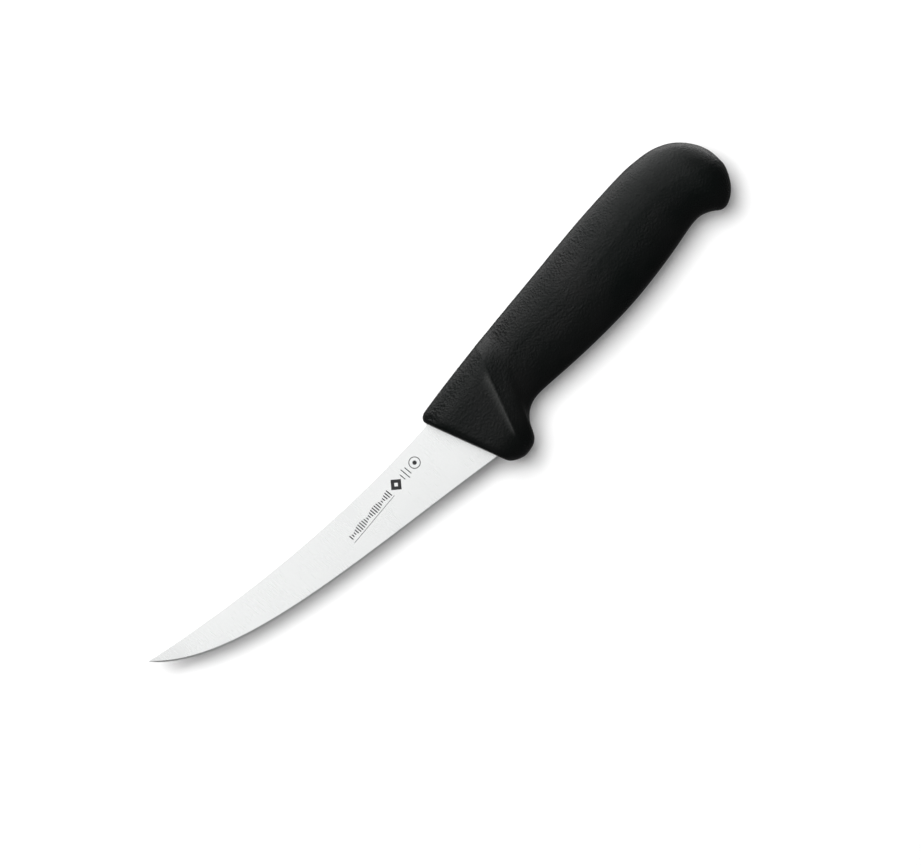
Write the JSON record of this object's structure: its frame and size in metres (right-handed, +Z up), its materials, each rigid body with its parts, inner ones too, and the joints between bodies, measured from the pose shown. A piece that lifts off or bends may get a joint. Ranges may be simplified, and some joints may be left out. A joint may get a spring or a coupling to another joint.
{
  "type": "boning knife",
  "caption": "Curved boning knife: tapered steel blade with a full-width heel and hidden tang, in a hard core with a soft textured grip, guard and hooked butt.",
  "frame": {"origin": "centre of the bounding box in X and Y, on the plane that the knife lies on", "axes": "+X from the blade's tip to the butt of the handle, +Y from the cutting edge to the spine, +Z up, square to the blade's side; the knife lies on its side"},
  "size_m": [0.2572, 0.0536, 0.021],
  "materials": {
    "blade_steel": "satin, ground across the blade, with a brighter sharpened bevel",
    "core_plastic": "as moulded, hidden under the grip",
    "grip_skin": "matt black with a fine moulded leather-like grain"
  },
  "bodies": {
    "root": {"blade": "blade_steel", "handle_core": "core_plastic", "handle_grip": "grip_skin"}
  },
  "joints": []
}
